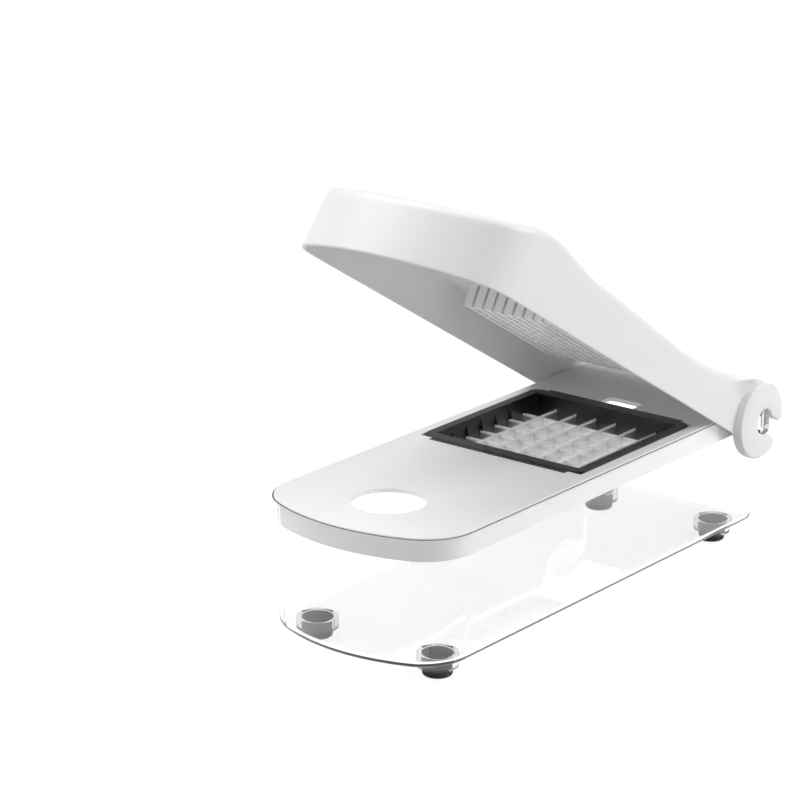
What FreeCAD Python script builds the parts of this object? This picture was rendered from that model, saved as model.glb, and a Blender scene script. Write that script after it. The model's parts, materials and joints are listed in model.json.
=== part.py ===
# Vegetable dicer: a clear catch box with a deck on top, a removable blade insert in the deck,
# and a hinged lid whose pusher grid presses the vegetable through the blades.
# Frame: +Z up, X across, -Y the rounded front, +Y the hinge. Origin on the surface it stands on,
# under the middle of its bounding box, with the lid standing open. Millimetres.

import FreeCAD, Part
import math
import os
import Sketcher
from FreeCAD import Placement, Rotation, Vector

doc = FreeCAD.newDocument("VegetableDicer")

# ---------------------------------------------------------------- driving dimensions

driving = {
    # catch box
    "rimHeight": 77.0,          # top edge of the box above the table
    "floorHeight": 10.4,        # underside of the box floor
    "rimHalfWidth": 57.4,
    "frontY": -151.3,           # foremost point of the rim
    "rearY": 148.7,
    "frontArc": 100.6,          # radius of the bowed front
    "frontCorner": 28.8,
    "rearCorner": 12.0,
    "boxWall": 2.0,
    "floorThick": 2.2,
    "draftAngle": 2.9,          # lean of the box and deck walls, degrees
    "floorRound": 4.0,
    "floorRoundInner": 2.4,
    # feet
    "footX": 37.2,
    "footFrontY": -116.3,
    "footRearY": 127.0,
    "footRadius": 8.1,
    "bossRadius": 10.4,
    "bossHeight": 5.6,
    "footBevelIn": 0.9,
    "footBevelUp": 1.2,
    "footPressGap": 0.05,
    # hinge
    "hingeY": 134.2,
    "hingeZ": 69.7,
    "pinRadius": 6.75,
    "pinHalfFlat": 4.25,
    "pinClearance": 0.1,
    "knuckleY": 131.0,          # centre of the knuckle disc with the lid closed
    "knuckleZ": 69.4,
    "knuckleRadius": 20.7,
    "knuckleInner": 58.3,
    "knuckleOuter": 64.0,
    "mouthHalf": 4.7,
    "mouthLip": 3.0,            # radius of the mouth's two lips
    "pinSink": 1.4,             # how deep the pin's root lies in the leaning box wall
    "knuckleEdge": 0.8,
    "restOpening": 30.34,       # degrees the lid stands open at rest
    # deck
    "deckTop": 77.8,
    "deckSkirtBottom": 65.5,
    "deckGap": 0.3,
    "deckWall": 1.8,
    "deckPlate": 2.2,
    "lipInset": 0.8,            # the deck's lip lies on the rim, this far inside its outer edge
    "lipGap": 0.05,
    "fingerHoleY": -107.7,
    "fingerHoleRadius": 18.3,
    "pushSlotHalf": 10.5,
    "pushSlotRearY": 98.0,
    "pushSlotCorner": 2.2,
    "deckEdgeRound": 0.5,
    # blade insert
    "insertY": 33.4,            # middle of the insert
    "insertTop": 78.4,
    "flangeThick": 2.0,
    "insertHalfX": 50.0,
    "insertHalfY": 50.6,
    "insertCorner": 5.7,
    "insertEdgeRound": 0.35,
    "tabHalf": 42.2,
    "tabReach": 3.3,
    "tabThick": 1.5,
    "openingHalf": 44.45,
    "sleeveHalf": 46.5,
    "seatGap": 0.3,
    "splitHeight": 68.7,        # where frame and retainer meet, through the blades
    "retainerBottom": 63.2,
    "bladePitch": 12.7,
    "bladeCount": 6.0,
    "bladeThick": 0.5,
    "bladeHalfLength": 45.5,
    "slotGap": 0.06,
    "longBladeTop": 71.4,       # the long strips stand higher than the cross strips
    "longBladeBottom": 64.6,
    "crossBladeTop": 70.0,
    "crossBladeBottom": 64.0,
    "finThick": 0.8,
    "finReach": 1.7,
    "finTop": 77.2,
    # lid, drawn closed
    "lidLower": 56.4,
    "lidUpper": 100.0,          # height of the upper guide outline of the walls
    "lidHalfWidth": 60.0,
    "lidSideLean": 0.6,
    "lidFrontY": -157.0,
    "lidFrontLean": 7.4,
    "lidCorner": 29.5,
    "lidWall": 1.7,
    "lidEndY": 136.0,
    "lidEdgeRound": 4.0,
    # the side view of the lid's top: rising to a brow over the front, falling to a slim
    # neck over the insert and rising again to the knuckles; Bend is the radius there
    "noseY": -165.0,
    "noseZ": 83.8,
    "browY": -102.2,
    "browZ": 97.0,
    "browBend": 85.0,
    "shoulderY": -51.0,
    "shoulderZ": 87.3,
    "shoulderBend": 60.0,
    "neckY": 75.5,
    "neckZ": 78.45,
    "neckBend": 265.0,
    "tailY": 124.5,
    "tailZ": 89.9,
    "tailBend": 30.0,
    "tailEndZ": 90.1,
    # pusher grid
    "toothPitch": 6.35,
    "toothCount": 14.0,
    "toothWidth": 4.8,
    "toothTipHeight": 69.5,
    "pusherPlate": 1.3,
    "plateFrontTop": 82.5,      # the plate's top follows the lid's ceiling down to the neck
    "plateBendY": 36.0,         # and runs nearly level behind this line
    "plateBendTop": 78.9,
    "plateRearTop": 78.4,
}

sheet = doc.addObject("Spreadsheet::Sheet", "Sizes")
for row, (alias, number) in enumerate(driving.items(), start=1):
    sheet.set(f"A{row}", alias)
    sheet.set(f"B{row}", str(number))
    sheet.setAlias(f"B{row}", alias)
doc.recompute()


class Size:
    # A number together with the sheet expression that gives it.
    def __init__(self, number, text=None):
        self.number = float(number)
        self.text = text or repr(float(number))

    def join(self, sign, other, number):
        return Size(number, f"({self.text} {sign} {other.text})")

    def __add__(self, other):
        other = as_size(other)
        return self.join("+", other, self.number + other.number)

    def __sub__(self, other):
        other = as_size(other)
        return self.join("-", other, self.number - other.number)

    def __mul__(self, other):
        other = as_size(other)
        return self.join("*", other, self.number * other.number)

    def __truediv__(self, other):
        other = as_size(other)
        return self.join("/", other, self.number / other.number)

    def __neg__(self):
        return Size(-self.number, f"(0 - {self.text})")


def as_size(value):
    return value if isinstance(value, Size) else Size(value)


def cell(alias):
    return Size(driving[alias], f"Sizes.{alias}")


overlap = 0.5   # how far a pad runs into what it joins
beyond = 1.0    # how far a cut runs past what it cuts


def bind(thing, path, size):
    thing.setExpression(path, as_size(size).text)


# ---------------------------------------------------------------- bodies and sketches


def new_body(label):
    body = doc.addObject("PartDesign::Body", label)
    body.Label = label
    return body


def origin_plane(body, role):
    return next(f for f in body.Origin.OriginFeatures if f.Role == role)


def new_sketch(body, name, role, offset):
    sketch = body.newObject("Sketcher::SketchObject", name)
    sketch.AttachmentSupport = [(origin_plane(body, role), "")]
    sketch.MapMode = "FlatFace"
    offset = as_size(offset)
    sketch.AttachmentOffset = Placement(Vector(0, 0, offset.number), Rotation())
    bind(sketch, ".AttachmentOffset.Base.z", offset)
    return sketch


def dimension(sketch, constraint, size):
    # Adds one dimension to a sketch and ties it to the sheet.
    size = as_size(size)
    index = sketch.addConstraint(Sketcher.Constraint(*constraint, size.number))
    name = f"size{index}"
    sketch.renameConstraint(index, name)
    bind(sketch, f"Constraints.{name}", size)


def rectangle(sketch, left, right, low, high):
    left, right, low, high = (as_size(s) for s in (left, right, low, high))
    corners = [(left, low), (right, low), (right, high), (left, high)]
    points = [Vector(x.number, y.number, 0) for x, y in corners]
    first = sketch.GeometryCount
    for i in range(4):
        sketch.addGeometry(Part.LineSegment(points[i], points[(i + 1) % 4]), False)
    for i in range(4):
        joint = ("Coincident", first + i, 2, first + (i + 1) % 4, 1)
        sketch.addConstraint(Sketcher.Constraint(*joint))
    for i, way in enumerate(("Horizontal", "Vertical", "Horizontal", "Vertical")):
        sketch.addConstraint(Sketcher.Constraint(way, first + i))
    dimension(sketch, ("DistanceX", -1, 1, first, 1), left)
    dimension(sketch, ("DistanceY", -1, 1, first, 1), low)
    dimension(sketch, ("DistanceX", -1, 1, first + 1, 2), right)
    dimension(sketch, ("DistanceY", -1, 1, first + 1, 2), high)


def circle(sketch, x, y, radius):
    x, y, radius = as_size(x), as_size(y), as_size(radius)
    centre = Vector(x.number, y.number, 0)
    index = sketch.addGeometry(Part.Circle(centre, Vector(0, 0, 1), radius.number), False)
    dimension(sketch, ("DistanceX", -1, 1, index, 3), x)
    dimension(sketch, ("DistanceY", -1, 1, index, 3), y)
    dimension(sketch, ("Radius", index), radius)


def polygon(sketch, points):
    # Straight-sided outline, each corner placed from the sheet.
    corners = [(as_size(x), as_size(y)) for x, y in points]
    count = len(corners)
    first = sketch.GeometryCount
    for i in range(count):
        a, b = corners[i], corners[(i + 1) % count]
        start = Vector(a[0].number, a[1].number, 0)
        end = Vector(b[0].number, b[1].number, 0)
        sketch.addGeometry(Part.LineSegment(start, end), False)
    for i in range(count):
        joint = ("Coincident", first + i, 2, first + (i + 1) % count, 1)
        sketch.addConstraint(Sketcher.Constraint(*joint))
    for i, (x, y) in enumerate(corners):
        dimension(sketch, ("DistanceX", -1, 1, first + i, 1), x)
        dimension(sketch, ("DistanceY", -1, 1, first + i, 1), y)


def bowed_outline(sketch, half, front, rear, bow, corner, rear_corner):
    # The dicer's plan shape: a bowed front, two front corners, straight sides and a square
    # rear with rounded corners, all tangent. bow, corner and rear_corner are radii.
    half, front, rear = as_size(half), as_size(front), as_size(rear)
    bow, corner, rear_corner = as_size(bow), as_size(corner), as_size(rear_corner)
    a, c, r, k = half.number, corner.number, bow.number, rear_corner.number
    centre_y = front.number + r
    cx = a - c
    cy = centre_y - math.sqrt((r - c) ** 2 - cx ** 2)
    lean = math.atan2(cx, centre_y - cy)
    down, up = 1.5 * math.pi, 0.5 * math.pi
    back = rear.number

    def arc(x, y, radius, begin, end):
        ring = Part.Circle(Vector(x, y, 0), Vector(0, 0, 1), radius)
        return Part.ArcOfCircle(ring, begin, end)

    def line(x1, y1, x2, y2):
        return Part.LineSegment(Vector(x1, y1, 0), Vector(x2, y2, 0))

    pieces = [
        arc(0, centre_y, r, down - lean, down + lean),
        arc(cx, cy, c, down + lean, 2 * math.pi),
        line(a, cy, a, back - k),
        arc(a - k, back - k, k, 0, up),
        line(a - k, back, k - a, back),
        arc(k - a, back - k, k, up, math.pi),
        line(-a, back - k, -a, cy),
        arc(-cx, cy, c, math.pi, down - lean),
    ]
    sketch.addGeometry(pieces, False)
    for i in range(8):
        joint = ("Tangent", i, 2, (i + 1) % 8, 1)
        sketch.addConstraint(Sketcher.Constraint(*joint))
    sketch.addConstraint(Sketcher.Constraint("PointOnObject", 0, 3, -2))
    sketch.addConstraint(Sketcher.Constraint("Vertical", 2))
    sketch.addConstraint(Sketcher.Constraint("Vertical", 6))
    sketch.addConstraint(Sketcher.Constraint("Horizontal", 4))
    sketch.addConstraint(Sketcher.Constraint("Equal", 1, 7))
    sketch.addConstraint(Sketcher.Constraint("Equal", 3, 5))
    dimension(sketch, ("Radius", 0), bow)
    dimension(sketch, ("Radius", 1), corner)
    dimension(sketch, ("Radius", 3), rear_corner)
    dimension(sketch, ("DistanceX", -1, 1, 2, 1), half)
    dimension(sketch, ("DistanceX", -1, 1, 6, 2), -half)
    dimension(sketch, ("DistanceY", -1, 1, 0, 3), front + bow)
    dimension(sketch, ("DistanceY", -1, 1, 4, 1), rear)


def pad(body, sketch, name, length, reverse=False, taper=None):
    return push_out(body, sketch, "PartDesign::Pad", name, length, reverse, taper)


def pocket(body, sketch, name, length, reverse=False, taper=None):
    return push_out(body, sketch, "PartDesign::Pocket", name, length, reverse, taper)


def push_out(body, sketch, kind, name, length, reverse, taper):
    # A pad or a pocket; taper is the angle by which its walls lean in.
    feature = body.newObject(kind, name)
    feature.Profile = sketch
    feature.Reversed = reverse
    length = as_size(length)
    feature.Length = length.number
    bind(feature, "Length", length)
    if taper:
        bind(feature, "TaperAngle", -taper)
    return settle(body, feature, cuts=kind.endswith("Pocket"))


def loft(body, lower, upper, name):
    feature = body.newObject("PartDesign::AdditiveLoft", name)
    feature.Profile = lower
    feature.Sections = [upper]
    feature.Ruled = True
    return settle(body, feature)


def pattern(body, source, sketch, axis, name, span, count):
    feature = body.newObject("PartDesign::LinearPattern", name)
    feature.Originals = [source]
    feature.Direction = (sketch, [axis])
    bind(feature, "Length", span)
    bind(feature, "Occurrences", count)
    body.Tip = feature
    return settle(body, feature)


def round_edges(body, base, name, radius, keep):
    # Rounds every edge of the base feature that keep() accepts.
    edges = [f"Edge{i}" for i, edge in enumerate(base.Shape.Edges, start=1) if keep(edge)]
    feature = body.newObject("PartDesign::Fillet", name)
    feature.Base = (base, edges)
    radius = as_size(radius)
    feature.Radius = radius.number
    bind(feature, "Radius", radius)
    return settle(body, feature)


last_volume = {}


def settle(body, feature, cuts=False):
    # Recomputes and stops at once if the feature failed or a cut removed nothing.
    doc.recompute()
    if "Invalid" in feature.State or "Error" in feature.State or not feature.Shape.isValid():
        raise RuntimeError(f"{body.Label}: {feature.Name} failed")
    volume = feature.Shape.Volume
    if cuts and not volume < last_volume.get(body.Name, math.inf) - 0.01:
        raise RuntimeError(f"{body.Label}: {feature.Name} cuts nothing")
    last_volume[body.Name] = volume
    return feature


def level(edge, height, tolerance=0.01):
    # True for an edge that lies wholly at one height.
    box = edge.BoundBox
    return abs(box.ZMin - height) < tolerance and abs(box.ZMax - height) < tolerance


rim = cell("rimHeight")
pieces = []

# ---------------------------------------------------------------- catch box, clear

box = new_body("container")


def box_outline(name, inset):
    sketch = new_sketch(box, name, "XY_Plane", rim)
    bowed_outline(
        sketch,
        cell("rimHalfWidth") - inset,
        cell("frontY") + inset,
        cell("rearY") - inset,
        cell("frontArc") - inset,
        cell("frontCorner") - inset,
        cell("rearCorner") - inset,
    )
    return sketch


draft, box_wall = cell("draftAngle"), cell("boxWall")
floor_under = cell("floorHeight")
floor_top = floor_under + cell("floorThick")


def flat_at(height):
    return lambda edge: level(edge, height.number)


box_rim = box_outline("BoxRim", Size(0))
outer = pad(box, box_rim, "BoxWalls", rim - floor_under, reverse=True, taper=draft)
round_edges(box, outer, "FloorRound", cell("floorRound"), flat_at(floor_under))
cavity_rim = box_outline("CavityRim", box_wall)
cavity = pocket(box, cavity_rim, "Cavity", rim - floor_top, taper=draft)
round_edges(box, cavity, "FloorRoundInner", cell("floorRoundInner"), flat_at(floor_top))

feet = {
    "front_left_foot": (-cell("footX"), cell("footFrontY")),
    "front_right_foot": (cell("footX"), cell("footFrontY")),
    "rear_left_foot": (-cell("footX"), cell("footRearY")),
    "rear_right_foot": (cell("footX"), cell("footRearY")),
}
bosses = new_sketch(box, "Bosses", "XY_Plane", floor_under - cell("bossHeight"))
sockets = new_sketch(box, "Sockets", "XY_Plane", floor_under - cell("bossHeight"))
for foot_x, foot_y in feet.values():
    circle(bosses, foot_x, foot_y, cell("bossRadius"))
    circle(sockets, foot_x, foot_y, cell("footRadius"))
pad(box, bosses, "FootBosses", cell("bossHeight") + overlap)
pocket(box, sockets, "FootSockets", cell("bossHeight"), reverse=True)


def pin_outline(sketch):
    # Round pin with a flat front and rear, so that the lid slips off when it stands upright.
    radius, flat = cell("pinRadius"), cell("pinHalfFlat")
    y, z = cell("hingeY"), cell("hingeZ")
    reach = math.sqrt(radius.number ** 2 - flat.number ** 2)
    turn = math.acos(flat.number / radius.number)
    centre = Vector(y.number, z.number, 0)
    ring = Part.Circle(centre, Vector(0, 0, 1), radius.number)
    front, back = y.number - flat.number, y.number + flat.number
    low, high = z.number - reach, z.number + reach
    sketch.addGeometry(
        [
            Part.ArcOfCircle(ring, turn, math.pi - turn),
            Part.LineSegment(Vector(front, high, 0), Vector(front, low, 0)),
            Part.ArcOfCircle(ring, math.pi + turn, 2 * math.pi - turn),
            Part.LineSegment(Vector(back, low, 0), Vector(back, high, 0)),
        ],
        False,
    )
    for i in range(4):
        sketch.addConstraint(Sketcher.Constraint("Coincident", i, 2, (i + 1) % 4, 1))
    sketch.addConstraint(Sketcher.Constraint("Vertical", 1))
    sketch.addConstraint(Sketcher.Constraint("Vertical", 3))
    sketch.addConstraint(Sketcher.Constraint("Coincident", 0, 3, 2, 3))
    dimension(sketch, ("Radius", 0), radius)
    dimension(sketch, ("DistanceX", -1, 1, 0, 3), y)
    dimension(sketch, ("DistanceY", -1, 1, 0, 3), z)
    dimension(sketch, ("DistanceX", -1, 1, 1, 1), y - flat)
    dimension(sketch, ("DistanceX", -1, 1, 3, 1), y + flat)


pin_root = cell("rimHalfWidth") - cell("pinSink")
pin_length = cell("knuckleOuter") - pin_root
right_pin = new_sketch(box, "RightPin", "YZ_Plane", pin_root)
pin_outline(right_pin)
pad(box, right_pin, "RightHingePin", pin_length)
left_pin = new_sketch(box, "LeftPin", "YZ_Plane", -pin_root)
pin_outline(left_pin)
pad(box, left_pin, "LeftHingePin", pin_length, reverse=True)
pieces.append(box)

# ---------------------------------------------------------------- four rubber feet


def make_foot(label, x, y):
    # Turned plug pressed up into the boss, its lower edge bevelled.
    foot = new_body(label)
    radius = cell("footRadius")
    profile = new_sketch(foot, f"{label}_profile", "XZ_Plane", 0)
    stem_radius = radius - cell("footPressGap")
    stem_top = floor_under - cell("footPressGap")
    polygon(
        profile,
        [
            (Size(0), Size(0)),
            (radius - cell("footBevelIn"), Size(0)),
            (stem_radius, cell("footBevelUp")),
            (stem_radius, stem_top),
            (Size(0), stem_top),
        ],
    )
    turn = foot.newObject("PartDesign::Revolution", f"{label}_turned")
    turn.Profile = profile
    turn.ReferenceAxis = (profile, ["V_Axis"])
    turn.Angle = 360
    settle(foot, turn)
    foot.Placement = Placement(Vector(x.number, y.number, 0), Rotation())
    bind(foot, ".Placement.Base.x", x)
    bind(foot, ".Placement.Base.y", y)
    pieces.append(foot)


for foot_label, (foot_x, foot_y) in feet.items():
    make_foot(foot_label, foot_x, foot_y)

# ---------------------------------------------------------------- white deck

deck = new_body("deck")
deck_top, skirt_bottom = cell("deckTop"), cell("deckSkirtBottom")
deck_wall, plate = cell("deckWall"), cell("deckPlate")
draft_slope = math.tan(math.radians(driving["draftAngle"]))


def deck_outline(name, height, inset):
    # Follows the box's inner wall, which narrows downwards, a small gap inside it.
    sketch = new_sketch(deck, name, "XY_Plane", height)
    narrower = box_wall + cell("deckGap") + inset + (rim - height) * draft_slope
    bowed_outline(
        sketch,
        cell("rimHalfWidth") - narrower,
        cell("frontY") + narrower,
        cell("rearY") - narrower,
        cell("frontArc") - narrower,
        cell("frontCorner") - narrower,
        cell("rearCorner") - narrower,
    )
    return sketch


deck_edge = deck_outline("DeckEdge", deck_top, Size(0))
pad(deck, deck_edge, "DeckForm", deck_top - skirt_bottom, reverse=True, taper=draft)
lip_edge = deck_outline("LipEdge", deck_top, cell("lipInset") - box_wall - cell("deckGap"))
deck_lip = pad(deck, lip_edge, "DeckLip", deck_top - rim - cell("lipGap"), reverse=True)
round_edges(deck, deck_lip, "DeckEdgeRound", cell("deckEdgeRound"), flat_at(deck_top))
ceiling = deck_top - plate
hollow = deck_outline("DeckHollowTop", ceiling, deck_wall)
pocket(deck, hollow, "DeckHollow", ceiling - skirt_bottom + beyond, taper=draft)
insert_y = cell("insertY")
seat_gap = cell("seatGap")
seat_floor = cell("insertTop") - cell("flangeThick")


def square_about_insert(sketch, half_x, half_y):
    rectangle(sketch, -half_x, half_x, insert_y - half_y, insert_y + half_y)


seat = new_sketch(deck, "Seat", "XY_Plane", deck_top)
square_about_insert(
    seat,
    cell("insertHalfX") + seat_gap,
    cell("insertHalfY") + seat_gap,
)
pocket(deck, seat, "InsertSeat", deck_top - seat_floor)
tab_seat = new_sketch(deck, "TabSeat", "XY_Plane", deck_top)
square_about_insert(
    tab_seat,
    cell("tabHalf") + seat_gap,
    cell("insertHalfY") + cell("tabReach") + seat_gap,
)
pocket(deck, tab_seat, "InsertTabSeat", deck_top - seat_floor)
well = new_sketch(deck, "Well", "XY_Plane", deck_top)
square_about_insert(well, cell("sleeveHalf") + seat_gap, cell("sleeveHalf") + seat_gap)
pocket(deck, well, "InsertWell", plate + beyond)
finger = new_sketch(deck, "FingerHole", "XY_Plane", deck_top)
circle(finger, Size(0), cell("fingerHoleY"), cell("fingerHoleRadius"))
hole = pocket(deck, finger, "PouringHole", plate + beyond)


def at_hole_top(edge):
    wide = 2 * driving["fingerHoleRadius"]
    return level(edge, deck_top.number) and abs(edge.BoundBox.XLength - wide) < 0.01


round_edges(deck, hole, "HoleEdgeRound", cell("deckEdgeRound"), at_hole_top)
push = new_sketch(deck, "PushSlotOutline", "XY_Plane", deck_top)
push_half = cell("pushSlotHalf")
rectangle(push, -push_half, push_half, insert_y + cell("insertHalfY"), cell("pushSlotRearY"))
push_slot = pocket(deck, push, "PushSlot", plate + beyond)
slot_rear = cell("pushSlotRearY").number


def at_slot_corner(edge):
    box = edge.BoundBox
    upright = box.ZLength > 1 and box.XLength < 0.01 and box.YLength < 0.01
    return upright and abs(box.YMax - slot_rear) < 0.01


round_edges(deck, push_slot, "PushSlotCorners", cell("pushSlotCorner"), at_slot_corner)
pieces.append(deck)

# ---------------------------------------------------------------- blade insert

opening, sleeve = cell("openingHalf"), cell("sleeveHalf")
split = cell("splitHeight")
pitch, blades = cell("bladePitch"), cell("bladeCount")
first_blade = -pitch * (blades - 1) / 2
blade_span = pitch * (blades - 1)
blade_thick = cell("bladeThick")
blade_reach = cell("bladeHalfLength")
slot_gap = cell("slotGap")
slot_half = blade_thick / 2 + slot_gap
blade_levels = {
    "cross": (cell("crossBladeBottom"), cell("crossBladeTop")),
    "long": (cell("longBladeBottom"), cell("longBladeTop")),
}


def blade_slots(body, prefix, bottom_of, height_of):
    # Rows of slots across a ring that the blade ends drop into.
    reach = blade_reach + slot_gap
    for kind, (low, high) in blade_levels.items():
        start, end = bottom_of(low), height_of(high)
        sketch = new_sketch(body, f"{prefix}_{kind}_slot", "XY_Plane", start)
        if kind == "cross":
            middle = insert_y + first_blade
            rectangle(sketch, -reach, reach, middle - slot_half, middle + slot_half)
            axis = "V_Axis"
        else:
            low_y, high_y = insert_y - reach, insert_y + reach
            rectangle(sketch, first_blade - slot_half, first_blade + slot_half, low_y, high_y)
            axis = "H_Axis"
        cut = pocket(body, sketch, f"{prefix}_{kind}_cut", end - start, reverse=True)
        pattern(body, cut, sketch, axis, f"{prefix}_{kind}_slots", blade_span, blades)


frame = new_body("insert_frame")
flange_outline = new_sketch(frame, "Flange", "XY_Plane", seat_floor)
square_about_insert(flange_outline, cell("insertHalfX"), cell("insertHalfY"))
flange = pad(frame, flange_outline, "FlangePlate", cell("flangeThick"))


def upright_edge(edge):
    box = edge.BoundBox
    return box.ZLength > 1 and box.XLength < 0.01 and box.YLength < 0.01


round_edges(frame, flange, "FlangeCorners", cell("insertCorner"), upright_edge)
tabs = new_sketch(frame, "Tabs", "XY_Plane", seat_floor)
square_about_insert(tabs, cell("tabHalf"), cell("insertHalfY") + cell("tabReach"))
flange_full = pad(frame, tabs, "LiftTabs", cell("tabThick"))
sleeve_outline = new_sketch(frame, "Sleeve", "XY_Plane", split)
square_about_insert(sleeve_outline, sleeve, sleeve)
pad(frame, sleeve_outline, "SleeveBlock", cell("insertTop") - split - overlap)
frame_opening = new_sketch(frame, "Opening", "XY_Plane", cell("insertTop"))
square_about_insert(frame_opening, opening, opening)
opened = pocket(frame, frame_opening, "FoodOpening", cell("insertTop") - split + beyond)
round_edges(frame, opened, "FrameEdge", cell("insertEdgeRound"), flat_at(cell("insertTop")))
blade_slots(frame, "frame", lambda low: split, lambda high: high + slot_gap)
fin_low = cell("crossBladeTop") + slot_gap
fin_half = cell("finThick") / 2
fin_y = insert_y + first_blade
fin_height = cell("finTop")
for side, name in ((1, "Right"), (-1, "Left")):
    fin = new_sketch(frame, f"{name}Fin", "XZ_Plane", -(fin_y + fin_half))
    wall_x, tip_x = opening + overlap, opening - cell("finReach")
    if side < 0:
        wall_x, tip_x = -wall_x, -tip_x
    polygon(fin, [(wall_x, fin_low), (wall_x, fin_height), (tip_x, fin_low)])
    one_fin = pad(frame, fin, f"{name}FinPad", cell("finThick"))
    row = new_sketch(frame, f"{name}FinRow", "XY_Plane", fin_low)
    pattern(frame, one_fin, row, "V_Axis", f"{name}Fins", blade_span, blades)
pieces.append(frame)

retainer = new_body("insert_retainer")
ring_bottom = cell("retainerBottom")
ring_outline = new_sketch(retainer, "Ring", "XY_Plane", ring_bottom)
square_about_insert(ring_outline, sleeve, sleeve)
pad(retainer, ring_outline, "RingBlock", split - ring_bottom)
ring_opening = new_sketch(retainer, "RingOpening", "XY_Plane", split)
square_about_insert(ring_opening, opening, opening)
pocket(retainer, ring_opening, "RingThrough", split - ring_bottom + beyond)
blade_slots(retainer, "retainer", lambda low: low - slot_gap, lambda high: split)
pieces.append(retainer)


def make_blade(kind, index):
    # A steel strip on edge, halved where it crosses the six of the other direction.
    low, high = blade_levels[kind]
    blade = new_body(f"{kind}_blade_{index + 1}")
    across = first_blade + pitch * index
    if kind == "cross":
        role, middle = "XZ_Plane", Size(0)
        offset = -(insert_y + across + blade_thick / 2)
        notch_low, notch_high = split - slot_gap, high
        first_notch = first_blade
    else:
        role, middle = "YZ_Plane", insert_y
        offset = across - blade_thick / 2
        notch_low, notch_high = low, split + slot_gap
        first_notch = insert_y + first_blade
    strip = new_sketch(blade, f"{blade.Label}_strip", role, offset)
    rectangle(strip, middle - blade_reach, middle + blade_reach, low, high)
    pad(blade, strip, f"{blade.Label}_pad", blade_thick)
    notch = new_sketch(blade, f"{blade.Label}_notch", role, offset)
    rectangle(notch, first_notch - slot_half, first_notch + slot_half, notch_low, notch_high)
    cut = pocket(blade, notch, f"{blade.Label}_cut", blade_thick, reverse=True)
    pattern(blade, cut, notch, "H_Axis", f"{blade.Label}_notches", blade_span, blades)
    pieces.append(blade)


for kind in blade_levels:
    for index in range(int(driving["bladeCount"])):
        make_blade(kind, index)

# ---------------------------------------------------------------- lid, drawn closed

lower, upper = cell("lidLower"), cell("lidUpper")
lid_wall = cell("lidWall")


side_margin = 10.0   # how far the lid's side view is drawn out past its walls, each side
rear_run = 24.0      # how far its walls run on past its end, which the side view cuts off


def lid_walls(label, inset, reach_down):
    # Drafted walls on the bowed outline, running past the hinge so that the rear stays open.
    body = new_body(label)
    sketches = []
    for name, height, side, front in (
        ("Low", lower - reach_down, Size(0), Size(0)),
        ("High", upper, cell("lidSideLean"), cell("lidFrontLean")),
    ):
        sketch = new_sketch(body, f"{label}{name}", "XY_Plane", height)
        bowed_outline(
            sketch,
            cell("lidHalfWidth") - side - inset,
            cell("lidFrontY") + front + inset,
            cell("lidEndY") + rear_run,
            cell("frontArc") - inset,
            cell("lidCorner") - side - inset,
            cell("rearCorner") / 2,
        )
        sketches.append(sketch)
    loft(body, sketches[0], sketches[1], f"{label}Loft")
    return body


brow, shoulder, neck, tail = (
    (cell(f"{name}Y"), cell(f"{name}Z"), cell(f"{name}Bend"))
    for name in ("brow", "shoulder", "neck", "tail")
)


def lid_profile(label, drop, end, reach_down):
    # Solid under the top's side view, wider than the walls, each bend rounded. drop is how
    # far it lies inside the lid's outer face, so outward bends shrink by it and others grow.
    body = new_body(label)
    half = cell("lidHalfWidth") + side_margin
    sketch = new_sketch(body, f"{label}Side", "YZ_Plane", -half)
    base = lower - reach_down
    bends = {"Brow": brow, "Shoulder": shoulder, "Neck": neck, "Tail": tail}
    outline = [(cell("noseY"), base), (end, base), (end, cell("tailEndZ") - drop)]
    outline += [(y, z - drop) for y, z, _ in reversed(bends.values())]
    outline += [(cell("noseY"), cell("noseZ") - drop)]
    polygon(sketch, outline)
    feature = pad(body, sketch, f"{label}Pad", half * 2)
    for name, (y, z, radius) in bends.items():
        radius = radius - drop if name in ("Brow", "Tail") else radius + drop
        height = z - drop

        def at_bend(edge, y=y.number, height=height.number):
            box = edge.BoundBox
            across = box.YLength < 0.01 and box.ZLength < 0.01
            return across and abs(box.YMin - y) < 0.01 and abs(box.ZMin - height) < 0.01

        feature = round_edges(body, feature, f"{label}{name}", radius, at_bend)
    return body


def common(label, first, second):
    shape = doc.addObject("Part::MultiCommon", label)
    shape.Shapes = [first, second]
    doc.recompute()
    return shape


lid_outside = common(
    "LidOutside",
    lid_walls("LidWalls", Size(0), Size(0)),
    lid_profile("LidTop", Size(0), cell("lidEndY"), Size(0)),
)


def between_top_and_wall(edge):
    # True where a face that looks up meets one that looks sideways, above the box's rim.
    span = edge.BoundBox
    on_rear = span.YLength < 0.01 and abs(span.YMax - driving["lidEndY"]) < 0.01
    if span.ZMin < driving["rimHeight"] or on_rear:
        return False
    middle = edge.valueAt((edge.FirstParameter + edge.LastParameter) / 2)
    lifts = []
    for face in lid_outside.Shape.ancestorsOfType(edge, Part.Face):
        u, v = face.Surface.parameter(middle)
        lifts.append(abs(face.normalAt(u, v).z))
    return max(lifts) > 0.8 and min(lifts) < 0.4


outside_edges = enumerate(lid_outside.Shape.Edges, start=1)
top_edges = [number for number, edge in outside_edges if between_top_and_wall(edge)]
lid_rounded = doc.addObject("Part::Fillet", "LidRounded")
lid_rounded.Base = lid_outside
lid_rounded.Edges = [(n, driving["lidEdgeRound"], driving["lidEdgeRound"]) for n in top_edges]
doc.recompute()
lid_inside = common(
    "LidInside",
    lid_walls("LidInnerWalls", lid_wall, Size(beyond)),
    lid_profile("LidInnerTop", lid_wall, cell("lidEndY") + beyond, Size(beyond)),
)
lid_shell = doc.addObject("Part::Cut", "LidShell")
lid_shell.Base = lid_rounded
lid_shell.Tool = lid_inside
doc.recompute()


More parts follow.
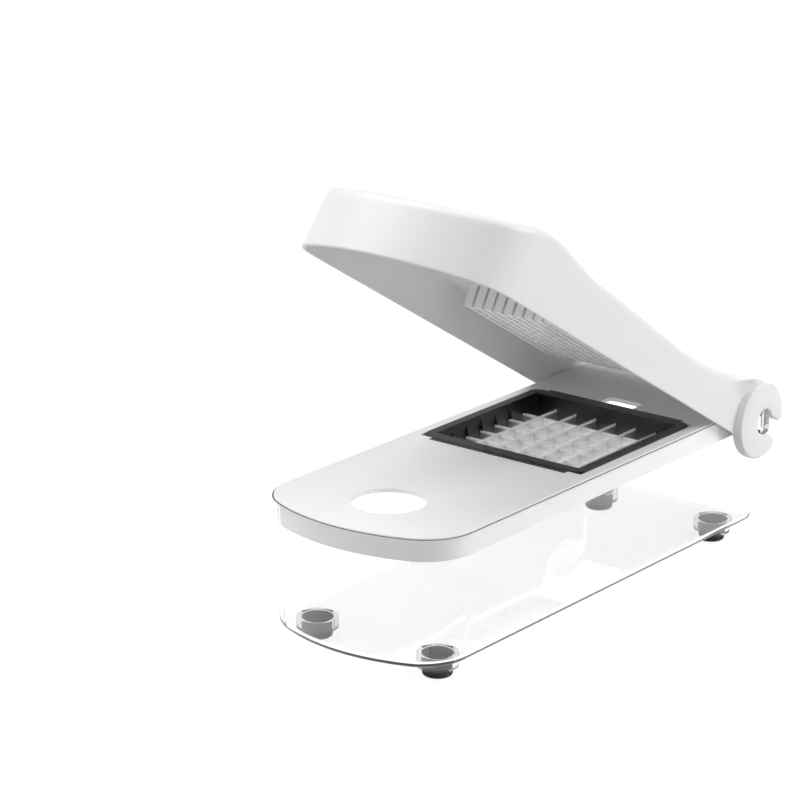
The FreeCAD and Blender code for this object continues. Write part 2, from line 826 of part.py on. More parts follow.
def knuckle(label, side):
    # Disc beside the box wall, bored for the pin, with a round-lipped mouth that faces the rear
    # while the lid is closed and straight down when it stands upright.
    body = new_body(label)
    inner = cell("knuckleInner")
    start = inner if side > 0 else -inner
    thick = cell("knuckleOuter") - inner
    disc = new_sketch(body, f"{label}Disc", "YZ_Plane", start)
    circle(disc, cell("knuckleY"), cell("knuckleZ"), cell("knuckleRadius"))
    pad(body, disc, f"{label}Plate", thick, reverse=side < 0)
    hinge_y, hinge_z, mouth_half = cell("hingeY"), cell("hingeZ"), cell("mouthHalf")
    bore = new_sketch(body, f"{label}Bore", "YZ_Plane", start)
    circle(bore, hinge_y, hinge_z, cell("pinRadius") + cell("pinClearance"))
    pocket(body, bore, f"{label}Bored", thick + beyond, reverse=side > 0)
    gap = new_sketch(body, f"{label}Mouth", "YZ_Plane", start)
    disc_rear = cell("knuckleY") + cell("knuckleRadius")
    rectangle(gap, hinge_y, disc_rear + beyond, hinge_z - mouth_half, hinge_z + mouth_half)
    opened = pocket(body, gap, f"{label}Opened", thick + beyond, reverse=side > 0)
    near_rear = disc_rear.number - driving["mouthHalf"]

    def at_lip(edge):
        box = edge.BoundBox
        return box.YLength < 0.01 and box.ZLength < 0.01 and box.YMin > near_rear

    def on_a_face(edge):
        return edge.BoundBox.XLength < 0.01

    lips = round_edges(body, opened, f"{label}Lips", cell("mouthLip"), at_lip)
    round_edges(body, lips, f"{label}Edge", cell("knuckleEdge"), on_a_face)
    return body


knuckles = [knuckle("RightKnuckle", 1), knuckle("LeftKnuckle", -1)]
cut_half = cell("knuckleOuter") + beyond
hinge = Vector(0, driving["hingeY"], driving["hingeZ"])
mouth = doc.addObject("Part::Box", "WallMouths")
bind(mouth, "Length", cut_half * 2)
bind(mouth, "Width", cell("knuckleRadius"))
bind(mouth, "Height", cell("mouthHalf") * 2)
mouth.Placement.Base = hinge - Vector(cut_half.number, 0, driving["mouthHalf"])
pin_room = doc.addObject("Part::Cylinder", "PinRoom")
bind(pin_room, "Radius", cell("pinRadius") + cell("pinClearance"))
bind(pin_room, "Height", cut_half * 2)
pin_room.Placement = Placement(
    Vector(-cut_half.number, hinge.y, hinge.z), Rotation(Vector(0, 1, 0), 90)
)
pin_cuts = doc.addObject("Part::MultiFuse", "PinCuts")
pin_cuts.Shapes = [pin_room, mouth]
lid_bored = doc.addObject("Part::Cut", "LidBored")
lid_bored.Base = lid_shell
lid_bored.Tool = pin_cuts
lid = doc.addObject("Part::MultiFuse", "lid")
lid.Label = "lid"
lid.Shapes = [lid_bored] + knuckles
doc.recompute()
pieces.append(lid)

# ---------------------------------------------------------------- pusher grid, drawn closed

grid = new_body("pusher_grid")
tooth_pitch, teeth = cell("toothPitch"), cell("toothCount")
tooth_half = cell("toothWidth") / 2
block_half = tooth_pitch * (teeth - 1) / 2 + tooth_half
tip = cell("toothTipHeight")
grid_front, grid_rear = insert_y - block_half, insert_y + block_half
plate_front = (grid_front, cell("plateFrontTop"))
plate_bend = (cell("plateBendY"), cell("plateBendTop"))
plate_rear = (grid_rear, cell("plateRearTop"))


def plate_under(y):
    # Height of the plate's underside, where the teeth start.
    end_y, end_z = plate_front if y.number < plate_bend[0].number else plate_rear
    slope = (end_z - plate_bend[1]) / (end_y - plate_bend[0])
    return plate_bend[1] + slope * (y - plate_bend[0]) - cell("pusherPlate")


block_side = new_sketch(grid, "BlockSide", "YZ_Plane", -block_half)
polygon(
    block_side,
    [
        (grid_front, tip),
        (grid_rear, tip),
        plate_rear,
        plate_bend,
        plate_front,
    ],
)
pad(grid, block_side, "Block", block_half * 2)
gap_half = tooth_pitch / 2 - tooth_half
first_groove = -tooth_pitch * (teeth / 2 - 1) - gap_half
groove_side = new_sketch(grid, "LongGroove", "YZ_Plane", first_groove)
polygon(
    groove_side,
    [
        (grid_front - beyond, tip - beyond),
        (grid_rear + beyond, tip - beyond),
        (grid_rear + beyond, plate_under(grid_rear + beyond)),
        (plate_bend[0], plate_under(plate_bend[0])),
        (grid_front - beyond, plate_under(grid_front - beyond)),
    ],
)
long_groove = pocket(grid, groove_side, "LongGrooveCut", gap_half * 2, reverse=True)
groove_row = new_sketch(grid, "GrooveRow", "XY_Plane", tip)
groove_span = tooth_pitch * (teeth - 2)
pattern(grid, long_groove, groove_row, "H_Axis", "LongGrooves", groove_span, teeth - 1)
cross_grooves = new_sketch(grid, "CrossGrooves", "YZ_Plane", -block_half - beyond)
for number in range(1, int(driving["toothCount"])):
    middle = insert_y + tooth_pitch * (Size(number) - teeth / 2)
    left, right = middle - gap_half, middle + gap_half
    polygon(
        cross_grooves,
        [
            (left, tip - beyond),
            (right, tip - beyond),
            (right, plate_under(right)),
            (left, plate_under(left)),
        ],
    )
across = (block_half + beyond) * 2
pocket(grid, cross_grooves, "CrossGrooveCut", across, reverse=True)
pieces.append(grid)

# ---------------------------------------------------------------- stand the lid open


def swing_open(piece):
    # Turns a piece drawn closed about the hinge to where the lid stands at rest.
    about = Placement(Vector(), Rotation(Vector(1, 0, 0), -driving["restOpening"]), hinge)
    piece.Placement = about * piece.Placement


swing_open(lid)
swing_open(grid)
doc.recompute()

# ---------------------------------------------------------------- check and write

for thing in doc.Objects:
    if "Invalid" in thing.State or "Error" in thing.State:
        raise RuntimeError(f"{thing.Label} did not recompute")
os.makedirs("parts", exist_ok=True)
for piece in pieces:
    shape = piece.Shape
    if shape.isNull() or not shape.isValid() or not shape.Solids:
        raise RuntimeError(f"{piece.Label} has no valid solid")
    print(f"{piece.Label}: {len(shape.Solids)} solid, {shape.Volume / 1000:.2f} cm3")
    shape.exportStep(f"parts/{piece.Label}.step")
box = Part.makeCompound([piece.Shape for piece in pieces]).BoundBox
print(f"X {box.XMin:.1f} {box.XMax:.1f}  Y {box.YMin:.1f} {box.YMax:.1f}  Z {box.ZMin:.1f} {box.ZMax:.1f}")
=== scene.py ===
import json
import math

import bmesh
import bpy
import numpy as np
from mathutils import Matrix, Vector


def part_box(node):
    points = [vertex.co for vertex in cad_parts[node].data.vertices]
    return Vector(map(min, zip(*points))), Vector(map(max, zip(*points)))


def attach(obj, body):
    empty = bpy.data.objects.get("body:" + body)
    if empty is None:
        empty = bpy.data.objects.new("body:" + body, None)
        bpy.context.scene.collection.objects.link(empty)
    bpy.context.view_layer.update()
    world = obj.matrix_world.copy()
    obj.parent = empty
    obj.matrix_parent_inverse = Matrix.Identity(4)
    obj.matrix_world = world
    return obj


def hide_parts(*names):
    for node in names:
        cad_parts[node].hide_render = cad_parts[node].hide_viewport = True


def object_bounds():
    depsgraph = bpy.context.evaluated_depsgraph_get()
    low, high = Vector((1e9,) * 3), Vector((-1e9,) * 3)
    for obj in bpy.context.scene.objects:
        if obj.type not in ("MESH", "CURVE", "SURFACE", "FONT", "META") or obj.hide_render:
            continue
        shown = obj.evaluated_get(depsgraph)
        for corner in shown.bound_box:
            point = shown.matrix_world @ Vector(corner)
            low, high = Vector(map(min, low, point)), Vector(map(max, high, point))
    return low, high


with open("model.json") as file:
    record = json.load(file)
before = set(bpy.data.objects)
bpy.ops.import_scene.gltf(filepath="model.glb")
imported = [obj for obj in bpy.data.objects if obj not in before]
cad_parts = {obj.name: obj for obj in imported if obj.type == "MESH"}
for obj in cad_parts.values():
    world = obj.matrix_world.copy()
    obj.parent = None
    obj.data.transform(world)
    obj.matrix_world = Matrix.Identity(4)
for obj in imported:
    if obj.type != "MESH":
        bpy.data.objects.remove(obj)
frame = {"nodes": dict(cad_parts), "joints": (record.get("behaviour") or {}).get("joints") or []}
nodes = frame["nodes"]
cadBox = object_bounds()
print("frame loaded:", len(nodes), "nodes")

mm = 0.001


def fromHex(text):
    # sRGB hex to linear colour with full alpha
    values = [int(text[i:i + 2], 16) / 255 for i in (1, 3, 5)]
    linear = [v / 12.92 if v <= 0.04045 else ((v + 0.055) / 1.055) ** 2.4 for v in values]
    return (*linear, 1.0)


def addNode(tree, kind, inputs=None, **settings):
    # a node with its settings; an input is a value or the socket that feeds it
    node = tree.nodes.new(kind)
    for name, value in settings.items():
        setattr(node, name, value)
    for name, value in (inputs or {}).items():
        if isinstance(value, bpy.types.NodeSocket):
            tree.links.new(value, node.inputs[name])
        else:
            node.inputs[name].default_value = value
    return node


def newMaterial(name):
    material = bpy.data.materials.new(name)
    material.use_nodes = True
    material.node_tree.nodes.clear()
    return material, material.node_tree


def finishMaterial(tree, shader, volume=None):
    output = addNode(tree, "ShaderNodeOutputMaterial", {"Surface": shader})
    if volume is not None:
        tree.links.new(volume, output.inputs["Volume"])


def grain(tree, size, detail=2.0, stretch=(1, 1, 1)):
    # noise whose blobs are about size metres across, longer along an axis stretched over 1
    where = addNode(tree, "ShaderNodeTexCoord").outputs["Object"]
    scaled = addNode(
        tree, "ShaderNodeMapping", {"Vector": where, "Scale": [1 / s for s in stretch]}
    )
    return addNode(
        tree,
        "ShaderNodeTexNoise",
        {"Vector": scaled.outputs["Vector"], "Scale": 1 / size, "Detail": detail},
    ).outputs["Fac"]


def spread(tree, value, low, high):
    # noise carried to the range from low to high
    return addNode(
        tree,
        "ShaderNodeMapRange",
        {"Value": value, "From Min": 0.3, "From Max": 0.7, "To Min": low, "To Max": high},
    ).outputs["Result"]


def tinted(tree, value, dark, light):
    return addNode(
        tree,
        "ShaderNodeMix",
        {"Factor": value, "A": fromHex(dark), "B": fromHex(light)},
        data_type="RGBA",
    ).outputs[2]


def blended(tree, share, first, second):
    # first where share is 0, second where it is 1
    return addNode(tree, "ShaderNodeMix", {"Factor": share, "A": first, "B": second}).outputs[0]


# ABS, injection moulded in a fine satin tool: soft broad sheen, faint orange peel
whiteAbs = {
    "light": "#F3F3F2",
    "dark": "#EEEEED",
    "ior": 1.54,
    "roughness": (0.34, 0.44),
    "cloud": 30 * mm,
    "grain": 0.9 * mm,      # the tool's real grain is 0.1 mm, too fine to show
    "depth": 0.012 * mm,
    "edge": 0.35 * mm,
}


def makePlastic(name, look):
    material, tree = newMaterial(name)
    cloud = grain(tree, look["cloud"], 3.0)
    fine = grain(tree, look["grain"], 2.0)
    softEdge = addNode(tree, "ShaderNodeBevel", {"Radius": look["edge"]}, samples=4)
    bump = addNode(
        tree,
        "ShaderNodeBump",
        {"Height": fine, "Distance": look["depth"], "Normal": softEdge.outputs["Normal"]},
    )
    shader = addNode(
        tree,
        "ShaderNodeBsdfPrincipled",
        {
            "Base Color": tinted(tree, cloud, look["dark"], look["light"]),
            "Roughness": spread(tree, cloud, *look["roughness"]),
            "IOR": look["ior"],
            "Normal": bump.outputs["Normal"],
        },
    )
    if "glow" in look:
        shader.inputs["Subsurface Weight"].default_value = look["glow"]
        shader.inputs["Subsurface Radius"].default_value = (1, 1, 1)
        shader.inputs["Subsurface Scale"].default_value = look["glowDepth"]
    finishMaterial(tree, shader.outputs["BSDF"])
    return material


# natural ABS of the tooth block: a little light passes through the thin teeth
naturalAbs = dict(
    whiteAbs, light="#F1F1F1", dark="#EAEAEA", roughness=(0.28, 0.36), glow=0.08,
    glowDepth=1.5 * mm, edge=0.25 * mm,
)

# black ABS from a spark-eroded tool: matt face, small grey sheen along the edges
blackAbs = dict(
    whiteAbs, light="#0B0B0C", dark="#060607", roughness=(0.26, 0.36), grain=0.6 * mm,
    depth=0.015 * mm, edge=0.4 * mm,
)

# nitrile rubber, pressed: dull, finely pitted
blackRubber = dict(
    whiteAbs, light="#242425", dark="#171718", ior=1.52, roughness=(0.55, 0.7),
    grain=0.5 * mm, depth=0.04 * mm, edge=0.2 * mm,
)

# styrene acrylonitrile, injection moulded in a polished tool: water clear, grey at its edges
clearSan = {
    "colour": "#FFFFFF",
    "ior": 1.57,
    "roughness": 0.015,
    "wave": 45 * mm,        # flow marks from the gate
    "depth": 0.02 * mm,
    "absorb": "#A4A4A4",    # grey only over a long way through it, so it shows at the edges
    "density": 70.0,
}


def makeClear(name, look):
    material, tree = newMaterial(name)
    wave = grain(tree, look["wave"], 1.0)
    bump = addNode(tree, "ShaderNodeBump", {"Height": wave, "Distance": look["depth"]})
    solid = addNode(
        tree,
        "ShaderNodeBsdfPrincipled",
        {
            "Base Color": fromHex(look["colour"]),
            "Roughness": look["roughness"],
            "IOR": look["ior"],
            "Transmission Weight": 1.0,
            "Normal": bump.outputs["Normal"],
        },
    )
    clear = addNode(tree, "ShaderNodeBsdfTransparent", {"Color": fromHex("#FFFFFF")})
    shadow = addNode(tree, "ShaderNodeLightPath").outputs["Is Shadow Ray"]
    shaders = {0: shadow, 1: solid.outputs[0], 2: clear.outputs[0]}
    both = addNode(tree, "ShaderNodeMixShader", shaders)
    inside = addNode(
        tree,
        "ShaderNodeVolumeAbsorption",
        {"Color": fromHex(look["absorb"]), "Density": look["density"]},
    )
    finishMaterial(tree, both.outputs[0], inside.outputs[0])
    return material


# cold-rolled stainless strip, 0.5 mm: fine drawn lines along it, and a band up to its edge where
# it was ground, too rough to mirror the black frame; the band's near-white colour is a painted
# highlight for the light caught along the top edge
steelStrip = {
    "colour": "#DCDCDC",
    "roughness": (0.26, 0.38),
    "lineWidth": 0.3 * mm,      # real lines are 0.02 mm, too fine to show
    "lineLength": 40,
    "depth": 0.001 * mm,
    # painted highlight: the ground band below the top edge is coloured near-white to stand in for
    # light caught along that edge
    "groundHighlight": "#FAFAFA",
    "groundRoughness": 0.62,
    "groundMetal": 0.35,
    "highlightBand": (1.5 * mm, 1.0 * mm),   # the ground band starts and is full this far below the edge
}


def makeSteel(name, look, along, edgeHeight):
    material, tree = newMaterial(name)
    stretch = [1, 1, 1]
    stretch[along] = look["lineLength"]
    lines = grain(tree, look["lineWidth"], 3.0, stretch)
    bump = addNode(tree, "ShaderNodeBump", {"Height": lines, "Distance": look["depth"]})
    where = addNode(tree, "ShaderNodeTexCoord").outputs["Object"]
    height = addNode(tree, "ShaderNodeSeparateXYZ", {"Vector": where}).outputs["Z"]
    # below the top edge the colour turns near-white as a painted highlight, with the ground band's
    # rougher, less metallic finish
    start, full = look["highlightBand"]
    highlightBand = addNode(
        tree,
        "ShaderNodeMapRange",
        {"Value": height, "From Min": edgeHeight - start, "From Max": edgeHeight - full},
    ).outputs["Result"]
    drawn = spread(tree, lines, *look["roughness"])
    shader = addNode(
        tree,
        "ShaderNodeBsdfPrincipled",
        {
            "Base Color": tinted(tree, highlightBand, look["colour"], look["groundHighlight"]),
            "Metallic": blended(tree, highlightBand, 1.0, look["groundMetal"]),
            "Roughness": blended(tree, highlightBand, drawn, look["groundRoughness"]),
            "Normal": bump.outputs["Normal"],
        },
    )
    finishMaterial(tree, shader.outputs["BSDF"])
    return material


materials = {
    "white": makePlastic("whiteAbs", whiteAbs),
    "natural": makePlastic("naturalAbs", naturalAbs),
    "black": makePlastic("blackAbs", blackAbs),
    "rubber": makePlastic("blackRubber", blackRubber),
    "clear": makeClear("clearSan", clearSan),
    "steelAcross": makeSteel("stainlessAcross", steelStrip, 0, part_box("cross_blade_1")[1].z),
    "steelAlong": makeSteel("stainlessAlong", steelStrip, 1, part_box("long_blade_1")[1].z),
}
finishOf = {
    "container": "clear",
    "deck": "white",
    "lid": "white",
    "pusher_grid": "natural",
    "insert_frame": "black",
    "insert_retainer": "black",
}
for name, node in nodes.items():
    finish = finishOf.get(name)
    if name.endswith("foot"):
        finish = "rubber"
    elif name.startswith("cross_blade"):
        finish = "steelAcross"
    elif name.startswith("long_blade"):
        finish = "steelAlong"
    node.material_slots[0].material = materials[finish]
print("materials set")

hingeJoint = frame["joints"][0]
hingeY, hingeZ = (value / mm for value in hingeJoint["pos_m"][1:])
openAngle = math.radians(-hingeJoint["range_deg"][0])   # how far the lid stands open at rest


def swingOpen(points):
    # closed lid to lid at rest: a turn about the hinge that lifts the front
    y, z = points[..., 1] - hingeY, points[..., 2] - hingeZ
    turned = points.copy()
    turned[..., 1] = hingeY + y * math.cos(openAngle) + z * math.sin(openAngle)
    turned[..., 2] = hingeZ - y * math.sin(openAngle) + z * math.cos(openAngle)
    return turned


def ease(value, start, end):
    # 0 before start, 1 after end, 3t^2 - 2t^3 between
    t = np.clip((value - start) / (end - start), 0, 1)
    return t * t * (3 - 2 * t)


def gridFaces(rows, columns, closed=False):
    # quads between neighbouring rows and columns; closed joins the last column to the first
    across = columns if closed else columns - 1
    r, c = np.meshgrid(np.arange(rows - 1), np.arange(across), indexing="ij")
    after = (c + 1) % columns
    quads = (r * columns + c, r * columns + after, (r + 1) * columns + after, (r + 1) * columns + c)
    return np.stack([q.ravel() for q in quads], 1)


def newPiece(name, points, faces, finish, body, flip=False):
    # points in millimetres and faces as index lists, made a smooth closed mesh at the origin
    mesh = bpy.data.meshes.new(name)
    mesh.from_pydata((points.reshape(-1, 3) * mm).tolist(), [], [list(map(int, f)) for f in faces])
    work = bmesh.new()
    work.from_mesh(mesh)
    bmesh.ops.remove_doubles(work, verts=work.verts, dist=0.001 * mm)
    if flip:
        bmesh.ops.reverse_faces(work, faces=work.faces)
    work.to_mesh(mesh)
    work.free()
    mesh.polygons.foreach_set("use_smooth", [True] * len(mesh.polygons))
    mesh.materials.append(materials[finish])
    piece = bpy.data.objects.new(name, mesh)
    bpy.context.scene.collection.objects.link(piece)
    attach(piece, body)
    return piece


def softenEdges(piece, width, angle):
    # a small round on edges sharper than the angle, in degrees
    soften = piece.modifiers.new("soften", "BEVEL")
    soften.width = width
    soften.segments = 2
    soften.limit_method = "ANGLE"
    soften.angle_limit = math.radians(angle)
    soften.harden_normals = True


def unit(rows):
    return rows / np.linalg.norm(rows, axis=1)[:, None]


# the lid's shell, drawn closed, millimetres
lidShell = {
    "lower": 56.4,
    "upper": 100.0,         # height of the upper guide outline
    "half": 60.0,
    "sideLean": 0.6,
    "front": -157.0,
    "frontLean": 7.4,
    "bow": 100.6,
    "corner": 29.5,
    "end": 136.0,
    "wallEnd": 122.0,       # the walls stop inside the knuckles, the top runs on to the end
    "wall": 1.7,
    # the top's side view, nose to tail: y, z and bend radius
    "top": (
        (-165, 83.8, 0), (-102.2, 97, 85), (-51, 87.3, 60),
        (75.5, 78.45, 265), (124.5, 89.9, 30), (136, 90.1, 0),
    ),
    "crown": 1.5,           # how much lower the top lies at its sides
    "crownFade": (-75, -20),
    "edgeRound": 4.0,
    "tailRound": 2.6,
    "flare": 3.7,           # the wall widens to the knuckle's outer face
    "flareAlong": (95, 125),
    "flareUp": (74, 89),
    "spineFront": -112.0,   # where the middle line of the top ends
    "spineBend": -50,
    "wallPull": 85,         # from here the walls draw forward to their end
    "bevel": (0.3 * mm, 40),
    "steps": (86, 14, 12),  # along a side, a corner, half the bow
    "rows": (12, 8, 22),    # up the wall, round the edge, in to the middle line
}


def bowedHalf(half, front, corner, look):
    # half of the plan outline, rear to middle of the front: straight side, corner arc, bow
    sides, corners, bows = look["steps"]
    bow = look["bow"]
    cornerX, bowY = half - corner, front + bow
    cornerY = bowY - math.sqrt((bow - corner) ** 2 - cornerX ** 2)
    lean = math.atan2(cornerX, bowY - cornerY)
    side = np.linspace(look["end"], cornerY, sides, endpoint=False)
    turn = np.linspace(0, math.pi / 2 - lean, corners, endpoint=False)
    sweep = np.linspace(lean, 0, bows + 1)
    parts = (
        np.stack([np.full(sides, half), side], 1),
        np.stack([cornerX + corner * np.cos(turn), cornerY - corner * np.sin(turn)], 1),
        np.stack([bow * np.sin(sweep), bowY - bow * np.cos(sweep)], 1),
    )
    return np.concatenate(parts)


def bentLine(y, bends):
    # straight runs with eased corners: each corner adds its change of slope, ramped up along a
    # parabola over the bend
    (y0, z0, _), (y1, z1, _) = bends[:2]
    slopes = [(b[1] - a[1]) / (b[0] - a[0]) for a, b in zip(bends, bends[1:])]
    z = z0 + slopes[0] * (y - y0)
    for (place, _, radius), before, after in zip(bends[1:-1], slopes, slopes[1:]):
        reach = radius * abs(math.tan((math.atan(after) - math.atan(before)) / 2))
        d = y - place
        ramp = np.where(np.abs(d) < reach, (d + reach) ** 2 / (4 * reach), np.maximum(d, 0))
        z = z + (after - before) * ramp
    return z


def lidTop(x, y, look):
    # side view of the top, dropping towards its sides by a crown that fades out over the insert
    crown = look["crown"] * (1 - ease(y, *look["crownFade"]))
    return bentLine(y, look["top"]) - crown * (x / look["half"]) ** 2


def makeLidShell(look):
    # rows run from the lower edge up the wall, round the edge and in to the middle line;
    # columns follow the plan outline from the rear to the middle of the front
    low = bowedHalf(look["half"], look["front"], look["corner"], look)
    high = bowedHalf(
        look["half"] - look["sideLean"], look["front"] + look["frontLean"],
        look["corner"] - look["sideLean"], look,
    )
    alongRear = ease(low[:, 1], *look["flareAlong"])

    def wallAt(z):
        share = ((z - look["lower"]) / (look["upper"] - look["lower"]))[:, None]
        flat = low + (high - low) * share
        widen = look["flare"] * alongRear * ease(z, *look["flareUp"])
        return np.column_stack([flat[:, 0] + widen, flat[:, 1], z])

    # the leaning wall and the top meet at a height found by turns, from any start near it
    z = np.full(len(low), 90.0)
    for _ in range(6):
        corner = wallAt(z)
        z = lidTop(corner[:, 0], corner[:, 1], look)
    radius = look["edgeRound"] + (look["tailRound"] - look["edgeRound"]) * alongRear
    along = ease(low[:, 1], look["front"], look["spineBend"])
    lift = (look["spineFront"] - look["front"]) * (1 - along)
    spine = np.column_stack([np.zeros(len(low)), low[:, 1] + lift])
    inward = unit(spine - corner[:, :2])

    def onTop(flat):
        return np.column_stack([flat, lidTop(flat[:, 0], flat[:, 1], look)])

    start = onTop(corner[:, :2] + inward * radius[:, None])
    step = 0.1
    ahead = onTop(start[:, :2] + inward * step)
    meet = wallAt(start[:, 2] - (ahead[:, 2] - start[:, 2]) / step * radius)
    below = wallAt(meet[:, 2] - radius)
    wallRows, roundRows, topRows = look["rows"]
    share = np.linspace(0, 1, wallRows, endpoint=False)
    walls = [wallAt(look["lower"] + (below[:, 2] - look["lower"]) * s) for s in share]
    rounds = []
    for t in np.linspace(0, 1, roundRows, endpoint=False):
        # conic arc: the corner's pull is weighted by the cosine of half the turn
        a, b, c = (1 - t) ** 2, 2 * t * (1 - t) * math.cos(math.pi / 4), t * t
        rounds.append((a * below + b * meet + c * start) / (a + b + c))
    tops = [onTop(start[:, :2] + (spine - start[:, :2]) * s) for s in np.linspace(0, 1, topRows)]
    shape = np.array(walls + rounds + tops)
    fading = 1 - np.linspace(0, 1, roundRows)
    heldBack = np.concatenate([np.ones(wallRows), fading, np.zeros(topRows)])
    pull = (look["end"] - look["wallEnd"]) * ease(shape[..., 1], look["wallPull"], look["end"])
    shape[..., 1] -= pull * heldBack[:, None]
    mirrored = shape[:, -2::-1] * [-1, 1, 1]
    shape = np.concatenate([shape, mirrored], 1)
    faces = gridFaces(shape.shape[0], shape.shape[1])
    piece = newPiece("lidShell", swingOpen(shape), faces, "white", "lid", flip=True)
    wall = piece.modifiers.new("wall", "SOLIDIFY")
    wall.thickness = look["wall"] * mm
    wall.offset = -1
    wall.use_even_offset = True
    softenEdges(piece, *look["bevel"])
    return piece


shell = makeLidShell(lidShell)
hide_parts("lid")

# a knuckle: a disc bored for the pin, slotted to its rear, drawn closed, millimetres
knuckleShape = {
    "centre": (131.0, 69.4),
    "radius": 20.7,
    "bore": 6.85,
    "mouth": 4.7,
    "lip": 3.0,
    "inner": 58.3,
    "outer": 64.0,
    "edge": 0.9,
    "steps": (96, 10, 44),  # round the rim, a lip, the bore
    "edgeSteps": 5,
}


def arc(centre, radius, start, end, count):
    a = np.linspace(start, end, count)
    return np.stack([centre[0] + radius * np.cos(a), centre[1] + radius * np.sin(a)], 1)


def knuckleOutline(look):
    # once round: the disc's rim from lip to lip, the lower lip, the bore, the upper lip
    cy, cz = look["centre"]
    lip, mouth, rim = look["lip"], look["mouth"], look["radius"]
    lipReach = rim - lip
    lips = [
        (cy + math.sqrt(lipReach ** 2 - (height - cz) ** 2), height)
        for height in (hingeZ + mouth + lip, hingeZ - mouth - lip)
    ]
    upper, lower = (math.atan2(z - cz, y - cy) for y, z in lips)
    boreTurn = math.asin(mouth / look["bore"])
    rimSteps, lipSteps, boreSteps = look["steps"]
    parts = [
        arc((cy, cz), rim, upper, lower + 2 * math.pi, rimSteps),
        arc(lips[1], lip, lower, math.pi / 2, lipSteps)[1:],
        arc((hingeY, hingeZ), look["bore"], 2 * math.pi - boreTurn, boreTurn, boreSteps),
        arc(lips[0], lip, -math.pi / 2, upper, lipSteps)[:-1],
    ]
    return np.concatenate(parts)


def makeKnuckle(name, side, look):
    # the outline carried across the disc's thickness, drawn in at both faces by a quarter round
    outline = knuckleOutline(look)
    ahead = np.roll(outline, -1, 0) - outline
    behind = outline - np.roll(outline, 1, 0)
    run = unit(unit(ahead) + unit(behind))
    inward = np.stack([-run[:, 1], run[:, 0]], 1)
    edgeSteps = look["edgeSteps"]
    a = np.linspace(0, math.pi / 2, edgeSteps)
    inset = look["edge"] * np.concatenate([1 - np.sin(a), 1 - np.cos(a)])
    bulge = look["edge"] * np.concatenate([1 - np.cos(a), -(1 - np.sin(a))])
    across = np.repeat([look["inner"], look["outer"]], edgeSteps) + bulge
    rings = outline[None] + inward[None] * inset[:, None, None]
    x = np.broadcast_to(across[:, None], rings.shape[:2])
    shape = np.concatenate([side * x[..., None], rings], 2)
    count = len(outline)
    faces = gridFaces(len(across), count, closed=True).tolist()
    last = (len(across) - 1) * count
    faces.append(list(range(count))[::-1])
    faces.append(list(range(last, last + count)))
    points = swingOpen(shape)
    return newPiece(name, points, faces, "white", "lid", flip=side < 0)


makeKnuckle("rightKnuckle", 1, knuckleShape)
makeKnuckle("leftKnuckle", -1, knuckleShape)
print("lid made")

# pressed rubber foot, turned about its upright axis: radius and height of its outline, millimetres
footShape = {
    "outline": (
        # the dished underside and the ribbed side
        (0, 0.6), (4.6, 0.6), (5.2, 0.0), (6.6, 0.0), (7.3, 0.5), (7.5, 1.1), (7.4, 1.5),
        (6.9, 1.8), (6.9, 2.3), (7.5, 2.6), (7.5, 3.4), (7.0, 3.8), (7.0, 4.4),
        # the plug in its socket, and its top with a moulded ring
        (8.0, 4.8), (8.0, 9.9), (7.7, 10.2), (7.0, 10.3), (5.2, 9.7), (3.4, 9.7),
        (2.9, 10.2), (0, 10.3),
    ),
    "around": 56,
    "bevel": (0.2 * mm, 35),
}


def makeFoot(node, look):
    # each outline point carried round a circle about the middle of the foot's own box
    low, high = (np.array(corner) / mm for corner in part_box(node))
    centre = (low + high) / 2
    radius, height = np.array(look["outline"], float).T
    turn = np.linspace(0, 2 * math.pi, look["around"], endpoint=False)
    x = centre[0] + radius[:, None] * np.cos(turn)
    y = centre[1] + radius[:, None] * np.sin(turn)
    z = np.broadcast_to(height[:, None], x.shape)
    faces = gridFaces(len(radius), look["around"], closed=True)
    foot = newPiece(node + "Rubber", np.stack([x, y, z], 2), faces, "rubber", "base")
    softenEdges(foot, *look["bevel"])
    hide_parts(node)


for name in nodes:
    if name.endswith("foot"):
        makeFoot(name, footShape)
print("feet made")

studio = {
    "floorColour": "#808080",   # a lit product table: it glows softly, so shadows stay faint
    "floorGlow": 0.86,
    "glowOnObject": 0.19,       # share of the glow that lights the object, as if from far below
    "glowMirrored": 1.0,        # as a share of the glow, what reflections show
    "glowThroughClear": 1.6,    # as a share of the glow, what shows through clear plastic
    "floorHalf": 8.0,
    "world": "#FFFFFF",
    "worldStrength": 0.48,
    "worldThroughClear": 0.04,  # dark cards above the set, which the clear box's edges pick up
    "lights": {
        # azimuth from which it shines (0 is the front), elevation, distance, size, watts
        "leftTop": (-75, 58, 1.9, 1.5, 22),
        "frontLeft": (-38, 14, 1.8, 1.0, 3),
        "right": (128, 28, 1.8, 1.2, 18),
    },
}


def pointAround(azimuth, elevation, distance):
    # a place seen from the origin at that azimuth and elevation, in degrees
    a, e = math.radians(azimuth), math.radians(elevation)
    return distance * Vector((math.sin(a) * math.cos(e), -math.cos(a) * math.cos(e), math.sin(e)))


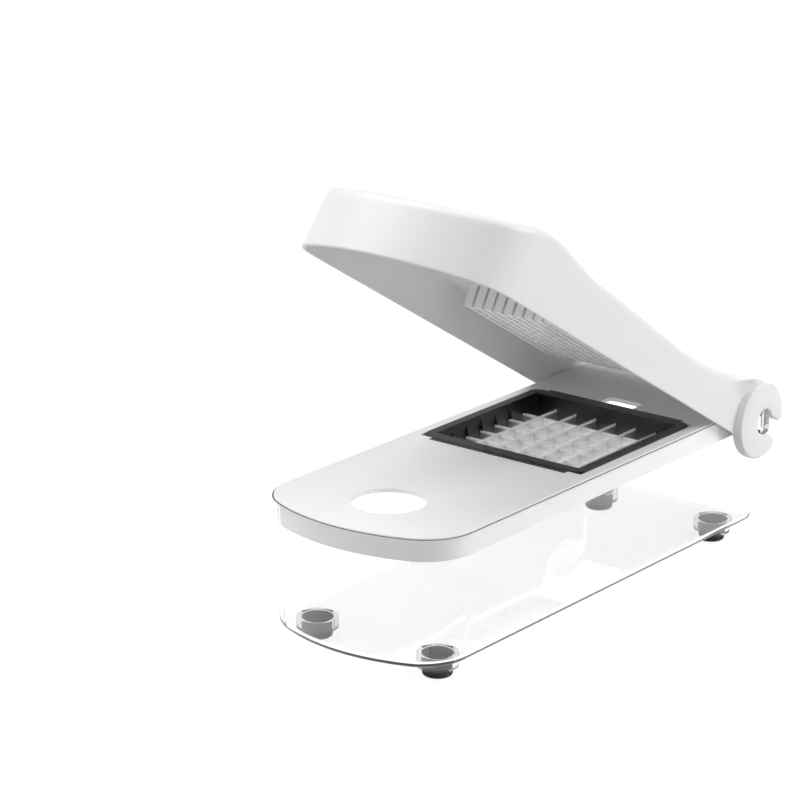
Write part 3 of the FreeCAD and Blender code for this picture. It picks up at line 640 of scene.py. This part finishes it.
floorMesh = bpy.data.meshes.new("floor")
h = studio["floorHalf"]
floorMesh.from_pydata([(-h, -h, 0), (h, -h, 0), (h, h, 0), (-h, h, 0)], [], [(0, 1, 2, 3)])
floor = bpy.data.objects.new("floor", floorMesh)
bpy.context.scene.collection.objects.link(floor)
floorMaterial, floorTree = newMaterial("paleSweep")
path = addNode(floorTree, "ShaderNodeLightPath").outputs
plain = studio["floorGlow"]
glow = blended(floorTree, path["Is Diffuse Ray"], plain, plain * studio["glowOnObject"])
glow = blended(floorTree, path["Is Glossy Ray"], glow, plain * studio["glowMirrored"])
glow = blended(floorTree, path["Is Transmission Ray"], glow, plain * studio["glowThroughClear"])
floorShader = addNode(
    floorTree,
    "ShaderNodeBsdfPrincipled",
    {
        "Base Color": fromHex(studio["floorColour"]),
        "Roughness": 0.9,
        "Specular IOR Level": 0.1,
        "Emission Color": (1, 1, 1, 1),
        "Emission Strength": glow,
    },
)
finishMaterial(floorTree, floorShader.outputs[0])
floorMesh.materials.append(floorMaterial)

world = bpy.data.worlds.new("studio")
world.use_nodes = True
background = world.node_tree.nodes["Background"]
background.inputs["Color"].default_value = fromHex(studio["world"])
through = addNode(world.node_tree, "ShaderNodeLightPath").outputs["Is Transmission Ray"]
sky = blended(world.node_tree, through, studio["worldStrength"], studio["worldThroughClear"])
world.node_tree.links.new(sky, background.inputs["Strength"])
bpy.context.scene.world = world

middle = (cadBox[0] + cadBox[1]) / 2
for name, (azimuth, elevation, distance, size, watts) in studio["lights"].items():
    lamp = bpy.data.lights.new(name, "AREA")
    lamp.shape = "DISK"
    lamp.size = size
    lamp.energy = watts
    lampObject = bpy.data.objects.new(name, lamp)
    lampObject.location = middle + pointAround(azimuth, elevation, distance)
    lampObject.rotation_euler = (middle - lampObject.location).to_track_quat("-Z", "Y").to_euler()
    bpy.context.scene.collection.objects.link(lampObject)

view = {
    "azimuth": 37.99,
    "elevation": 17.66,
    "roll": 0.33,
    "lens": 137.05,
    "place": (0.85886, -1.19887, 0.57102),
}
cameraData = bpy.data.cameras.new("camera")
cameraData.lens = view["lens"]
cameraData.sensor_width = 36
camera = bpy.data.objects.new("camera", cameraData)
back = pointAround(view["azimuth"], view["elevation"], 1)
right = (-back).cross(Vector((0, 0, 1))).normalized()
up = right.cross(-back)
turn = Matrix.Rotation(math.radians(view["roll"]), 3, back)
basis = Matrix((turn @ right, turn @ up, back)).transposed()
camera.matrix_world = Matrix.Translation(view["place"]) @ basis.to_4x4()
bpy.context.scene.collection.objects.link(camera)
bpy.context.scene.camera = camera
bpy.context.scene.view_settings.view_transform = "Standard"
print("studio and camera set")
